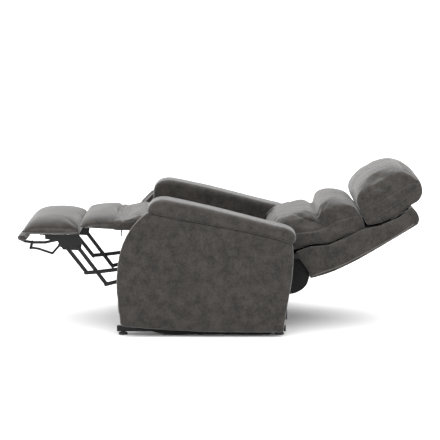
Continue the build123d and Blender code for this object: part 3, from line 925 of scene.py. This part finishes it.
@dataclass
class Seat:
    """Seat cushion and the leather web that joins it to the calf pad."""

    trim: Upholsterer
    width: float = 0.250

    def build(self) -> None:
        """Builds the seat."""
        seams = [across((-0.30, 0.512), self.width)]
        cushion = Cushion(("seat_cushion",), "seat_leather", crown=0.006, inset=0.006,
                          cap=0.010, seams=seams)
        self.trim.padded(cushion.build(), "chair", ["seat_cushion"])
        self.build_web()
        self.build_throat()

    def build_web(self) -> None:
        """Padded leather that closes the notch between the calf pad and the seat."""
        shape = bmesh.new()
        width = (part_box("calf_pad")[1][0] - 0.009) * 2
        place = Matrix.Translation((0.0, -0.438, 0.490)) @ Matrix.Diagonal(
            (width, 0.112, 0.052, 1.0))
        bmesh.ops.create_cube(shape, size=1.0, matrix=place)
        roll = from_bmesh("calf_hinge_roll", shape)
        skin(roll, 0.007, 14, 0.0)
        crumple(roll, 0.0012, 12.0)
        sew(roll, [across((-0.446, 0.522), self.width)], 0.004, 0.006)
        self.trim.bending(roll, ("calf_rest", "chair"), Vector((0, -0.470, 0.492)),
                          Vector((0, -0.415, 0.492)), Slot.LEATHER)

    def build_throat(self) -> None:
        """Leather that closes the throat between the seat and the back cushion."""
        profile = curve_points([(0, 0.120, 0.424), (0, 0.150, 0.416), (0, 0.182, 0.412),
                                (0, 0.212, 0.426), (0, 0.236, 0.446)], 6)
        web = strip("seat_throat", profile, 0.49)
        self.trim.bending(web, ("chair", "back"), profile[5], profile[-5], Slot.LEATHER)


def strip(name: str, profile: Line, width: float, columns: int = 40,
          ripple: float = 0.0) -> Object:
    """Cloth that follows a (Y, Z) profile across the chair.

    Args:
        name: the piece's name.
        profile: the line it follows at X = 0.
        width: its size along X.
        columns: faces across.
        ripple: depth of its soft folds.

    Returns:
        The piece.
    """
    shape = bmesh.new()
    rows = [shape.verts.new((-width / 2, p.y, p.z)) for p in profile]
    for first, second in zip(rows[:-1], rows[1:]):
        shape.edges.new((first, second))
    run = shape.edges[:]
    for _ in range(columns):
        made = bmesh.ops.extrude_edge_only(shape, edges=run)["geom"]
        moved = [g for g in made if isinstance(g, bmesh.types.BMVert)]
        bmesh.ops.translate(shape, verts=moved, vec=(width / columns, 0, 0))
        run = [g for g in made if isinstance(g, bmesh.types.BMEdge)
               and g.verts[0] in moved and g.verts[1] in moved]
    for vert in shape.verts:
        wave = noise.noise(Vector((vert.co.x * 9, vert.co.y * 9, vert.co.z * 9)))
        vert.co.y += wave * ripple
        vert.co.z += wave * ripple * 0.5
    return from_bmesh(name, shape)


@dataclass
class Back:
    """Back cushion in two lobes, head pillow, leather shell and dust cloth."""

    trim: Upholsterer
    half: float = 0.246

    def build(self) -> None:
        """Builds the back."""
        self.trim.padded(self.cushion().build(), "back", ["back_cushion"])
        self.trim.padded(self.pillow().build(), "back", ["head_pillow"], fill=0.9)
        self.build_shell()
        self.build_dust_cloth()

    def cushion(self) -> Cushion:
        """Returns: the two-lobed cushion."""
        pinch = both_sides(curve_points(
            [(0.20, 0.436, 0.548), (0.235, 0.428, 0.528), (0.252, 0.424, 0.512)], 6))
        gusset = beside(self.half, [(0.335, 0.455), (0.445, 0.474), (0.528, 0.511),
                                    (0.591, 0.530), (0.645, 0.538)])
        folds = both_sides(curve_points(
            [(0.246, 0.422, 0.512), (0.225, 0.385, 0.520), (0.19, 0.345, 0.532)], 6))
        folds += both_sides(curve_points(
            [(0.246, 0.424, 0.512), (0.230, 0.462, 0.540), (0.20, 0.490, 0.572)], 6))
        return Cushion(("back_cushion",), "back_leather", crown=0.012, inset=0.004, cap=0.013,
                       creases=[across((0.438, 0.546), 0.235, 0.012), *pinch],
                       crease_depth=0.012, crease_width=0.011,
                       seams=both_sides(gusset), gathers=folds, wrinkle=0.0016,
                       stretch=(0.56, 0.63, 0.026))

    def pillow(self) -> Cushion:
        """Returns: the head pillow with its side boxing."""
        inner = beside(0.245, [(0.640, 0.556), (0.710, 0.596), (0.773, 0.633), (0.850, 0.680),
                               (0.905, 0.690)])
        outer = beside(0.245, [(0.712, 0.520), (0.774, 0.564), (0.836, 0.601), (0.905, 0.655)])
        gathers = []
        for share in (0.22, 0.42, 0.55, 0.72, 0.86):
            top = inner[int(share * (len(inner) - 1))]
            foot = outer[int(share * (len(outer) - 1))]
            gathers += both_sides([top, (top + foot) / 2 + Vector((0, 0.004, 0)), foot])
        for index in range(5):
            x = 0.05 + 0.045 * index
            gathers += both_sides(curve_points(
                [(x, 0.912 - 0.004 * index, 0.712), (x - 0.012, 0.886, 0.742),
                 (x - 0.03, 0.845, 0.758)], 5))
        return Cushion(("head_pillow",), "pillow_leather", crown=0.020, crown_power=3.0,
                       inset=0.005, cap=0.014, round_off=7, wrinkle=0.0024, pitch=11.0,
                       seams=both_sides(inner) + both_sides(outer), gathers=gathers)

    def build_shell(self) -> None:
        """Leather over the sides and rear of the back."""
        piece = copy_of(["back_rear_cover"], "back_shell_leather")
        sides = copy_of(["back_side_covers"], "back_shell_sides")
        points = points_of(sides.data)
        inner = np.abs(points[:, 0]) < 0.253
        points[inner, 0] = np.sign(points[inner, 0]) * 0.238
        put_points(sides.data, points)
        shape = bmesh.new()
        shape.from_mesh(piece.data)
        shape.from_mesh(sides.data)
        shape.to_mesh(piece.data)
        shape.free()
        bpy.data.objects.remove(sides)
        skin(piece, 0.0055, 3, 0.0022)
        crumple(piece, 0.0012, 10.0)
        profile = curve_points([(0, 0.785, 0.516), (0, 0.826, 0.540), (0, 0.856, 0.556),
                                (0, 0.876, 0.556), (0, 0.886, 0.536)], 6)
        top = strip("back_top_leather", profile, 0.470)
        self.trim.plain(top, "back")
        nodes = ["back_rear_cover", "back_side_covers", "back_side_boards"]
        self.trim.padded(piece, "back", nodes, fill=0.9)
        welt = [(0.418, 0.256), (0.552, 0.306), (0.656, 0.360), (0.760, 0.418), (0.838, 0.466),
                (0.884, 0.500)]
        for index, line in enumerate(both_sides(beside(0.2565, welt))):
            # Welts painted lighter: partly wear, partly painted highlight.
            self.trim.piping(f"back_welt_{index + 1}", line, 0.0022, "back", wear_and_highlight=0.7)

    def build_dust_cloth(self) -> None:
        """Black cloth between the seat's rear and the foot of the back."""
        profile = curve_points([(0, 0.322, 0.166), (0, 0.350, 0.172), (0, 0.378, 0.188),
                                (0, 0.398, 0.212), (0, 0.412, 0.250)], 6)
        cloth = strip("rear_dust_cloth", profile, 0.452, ripple=0.006)
        self.trim.bending(cloth, ("chair", "back"), profile[1], profile[-2], Slot.BLACK_CLOTH,
                          ["rear_dust_cover"])
        for side, sign in SIDES:
            gusset = self.side_gusset(f"{side}_dust_gusset", sign * 0.2255, profile)
            self.trim.bending(gusset, ("chair", "back"), profile[1], profile[-2],
                              Slot.BLACK_CLOTH)

    def side_gusset(self, name: str, x: float, profile: Line) -> Object:
        """Side of the dust cloth, from its lower edge up to the seat and back.

        Args:
            name: the piece's name.
            x: where it hangs.
            profile: the dust cloth's line.

        Returns:
            The piece.
        """
        steps = len(profile) - 1
        front, rear = Vector((0, 0.316, 0.388)), Vector((0, 0.427, 0.270))
        top = [front.lerp(rear, k / steps) for k in range(len(profile))]
        shape = bmesh.new()
        bmesh.ops.create_grid(shape, x_segments=steps, y_segments=12, size=0.5)
        for vert in shape.verts:
            along = round((vert.co.x + 0.5) * steps)
            up = vert.co.y + 0.5
            place = profile[along].lerp(top[along], up)
            fold = 0.006 * math.sin(9.0 * up) * math.sin(math.pi * up)
            vert.co = (x + math.copysign(fold, x), place.y, place.z)
        piece = from_bmesh(name, shape)
        return piece


@dataclass
class Footrest:
    """Footrest pad, calf pad and the flipper strip. The pads reach towards each other."""

    trim: Upholsterer
    end_zone: float = 0.06
    reach: float = 0.007

    def build(self) -> None:
        """Builds the three pads."""
        for board, pad, body, seams in (
                ("footrest_board", "footrest_pad", "footrest", []),
                ("calf_board", "calf_pad", "calf_rest", [across((-0.470, 0.535), 0.235)])):
            low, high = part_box(pad)
            middle = (low[2] + high[2]) / 2
            front, rear = low[1] + self.end_zone, high[1] - self.end_zone
            if body == "footrest":
                stretch = (rear, high[1], self.reach)
            else:
                stretch = (front, low[1], -self.reach)
            line = beside(0.262, [(low[1] + 0.008, middle - 0.012), (front, middle),
                                  (rear, middle), (high[1] - 0.004, middle - 0.012)])
            cushion = Cushion((pad, board), f"{body}_leather", voxel=0.007, inset=0.004,
                              cap=0.012, crown=0.030, crown_power=6.0, round_off=4,
                              seams=seams, creases=both_sides(line), crease_depth=0.004,
                              crease_width=0.009, wrinkle=0.0012, pitch=11.0,
                              stretch=stretch)
            self.trim.padded(cushion.build(), body, [pad, board], fill=0.85)
        strip_skin = copy_of(["flipper_strip"], "flipper_leather")
        skin(strip_skin, 0.005, 2, 0.0012)
        self.trim.padded(strip_skin, "flipper", ["flipper_strip"], fill=0.9)


@dataclass
class Skirts:
    """Black cloth strips under the arms."""

    trim: Upholsterer
    hang_x: float = 0.3475
    lift: float = 0.030
    sway: float = 0.004
    spare: float = 1.01

    def build(self) -> None:
        """Builds both skirts."""
        low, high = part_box("side_skirts")
        length = high[1] - low[1]
        for side, sign in SIDES:
            shape = bmesh.new()
            bmesh.ops.create_grid(shape, x_segments=90, y_segments=8, size=0.5)
            for vert in shape.verts:
                y = low[1] + (vert.co.x + 0.5) * length
                up = vert.co.y + 0.5
                ends = min(1.0, (vert.co.x + 0.5) * 5.0, (0.5 - vert.co.x) * 14.0)
                foot = low[2] + 0.002 + (1.0 - ends) * self.lift
                sway = self.sway * (1.0 - up) * noise.noise(Vector((y * 14.0, sign, 0)))
                vert.co = (sign * self.hang_x + sway, y, foot + up * (high[2] - foot))
            piece = from_bmesh(f"{side}_skirt_cloth", shape)
            self.trim.plain(piece, "chair", ["side_skirts"], Slot.BLACK_CLOTH)


@dataclass
class Hardware:
    """Domed rivet heads on the mechanism and small fasteners."""

    trim: Upholsterer
    radius: float = 0.0075

    def dome(self, name: str, place: Vector, sign: int, radius: float) -> Object:
        """Rivet head that faces outwards.

        Args:
            name: the piece's name.
            place: the middle of its base.
            sign: 1 where it faces the sitter's left, -1 to the right.
            radius: its radius.

        Returns:
            The piece.
        """
        shape = bmesh.new()
        bmesh.ops.create_uvsphere(shape, u_segments=20, v_segments=12, radius=radius)
        bmesh.ops.bisect_plane(shape, geom=shape.verts[:] + shape.edges[:] + shape.faces[:],
                               plane_co=(0, 0, 0), plane_no=(sign, 0, 0), clear_inner=True)
        bmesh.ops.holes_fill(shape, edges=shape.edges, sides=0)
        bmesh.ops.scale(shape, verts=shape.verts, vec=(0.4, 1, 1))
        bmesh.ops.translate(shape, verts=shape.verts, vec=place)
        return from_bmesh(name, shape)

    def build(self) -> None:
        """Builds the rivet heads at the pivots."""
        places = {joint["name"]: Vector(joint["pos_m"]) for joint in frame["joints"]
                  if "pos_m" in joint}
        rows = (("rear_strut_pivot", "footrest_arm", 0.216),
                ("footrest_bracket_pivot", "footrest_rear_strut", 0.209),
                ("front_strut_pivot", "footrest", 0.202),
                ("flipper_fold", "footrest", 0.202),
                ("flipper_drive_pivot", "flipper", 0.195))
        for joint, body, x in rows:
            for side, sign in SIDES:
                place = places[joint].copy()
                place.x = sign * x
                radius = self.radius * (0.8 if "flipper" in joint else 1.0)
                head = self.dome(f"{joint}_rivet_{side}", place, sign, radius)
                self.trim.plain(head, body, slot=Slot.BLACK_STEEL)
        self.build_stop_pins()

    def build_stop_pins(self) -> None:
        """Short pins under the rear of the calf board."""
        for side, sign in SIDES:
            shape = bmesh.new()
            bmesh.ops.create_cone(shape, cap_ends=True, segments=20, radius1=0.0028,
                                  radius2=0.0036, depth=0.046,
                                  matrix=Matrix.Translation((sign * 0.200, -0.4525, 0.455)))
            piece = from_bmesh(f"calf_stop_pin_{side}", shape)
            self.trim.plain(piece, "calf_rest", slot=Slot.BLACK_STEEL)


@dataclass
class Studio:
    """Floor, soft light and the camera."""

    camera_place: tuple[float, float, float] = (6.720, 0.0, 1.596)
    camera_pitch: float = 9.47
    lens: float = 117.66
    floor_radius: float = 500.0
    floor_white: float = 0.82
    sun_energy: float = 3.6
    sun_spread: float = 100.0
    surround_strength: float = 1.28

    def build(self) -> None:
        """Builds the whole studio."""
        self.floor()
        self.camera()
        self.sky_light()
        self.surround()

    def floor(self) -> None:
        """Pale floor."""
        shape = bmesh.new()
        bmesh.ops.create_circle(shape, cap_ends=True, radius=self.floor_radius, segments=96)
        floor = from_bmesh("floor", shape, smooth=False)
        material = bpy.data.materials.new("studio_floor")
        material.use_nodes = True
        surface = material.node_tree.nodes["Principled BSDF"]
        surface.inputs["Base Color"].default_value = (*(self.floor_white,) * 3, 1.0)
        surface.inputs["Roughness"].default_value = 0.9
        surface.inputs["Specular IOR Level"].default_value = 0.0
        floor.data.materials.append(material)

    def camera(self) -> None:
        """Camera on the chair's left, looking a little down."""
        eye = new_object("camera", bpy.data.cameras.new("camera"))
        eye.data.lens = self.lens
        eye.data.sensor_width = 36.0
        eye.data.clip_end = 2000.0
        eye.location = self.camera_place
        eye.rotation_euler = (math.radians(90.0 - self.camera_pitch), 0.0, math.radians(90.0))
        bpy.context.scene.camera = eye

    def sky_light(self) -> None:
        """Very soft light from above, a little from the camera's side."""
        lamp = bpy.data.lights.new("overhead", "SUN")
        lamp.energy = self.sun_energy
        lamp.angle = math.radians(self.sun_spread)
        holder = new_object("overhead", lamp)
        aim = Vector((-0.12, 0.10, -1.0))
        holder.rotation_euler = aim.to_track_quat("-Z", "Y").to_euler()

    def surround(self) -> None:
        """Even white surround."""
        world = bpy.data.worlds.new("surround")
        world.use_nodes = True
        back = world.node_tree.nodes["Background"]
        back.inputs["Color"].default_value = (1.0, 1.0, 1.0, 1.0)
        back.inputs["Strength"].default_value = self.surround_strength
        bpy.context.scene.world = world
        bpy.context.scene.view_settings.view_transform = "Standard"


def main() -> None:
    """Builds the recliner's looks around the frame."""
    wardrobe = Wardrobe()
    wardrobe.dress_frame()
    trim = Upholsterer(wardrobe)
    for side, sign in SIDES:
        Arm(side, sign, trim).build()
    Seat(trim).build()
    Back(trim).build()
    Footrest(trim).build()
    Skirts(trim).build()
    Hardware(trim).build()
    Studio().build()


if __name__ == "__main__":
    logging.basicConfig(level=logging.INFO, format="%(message)s")
    main()
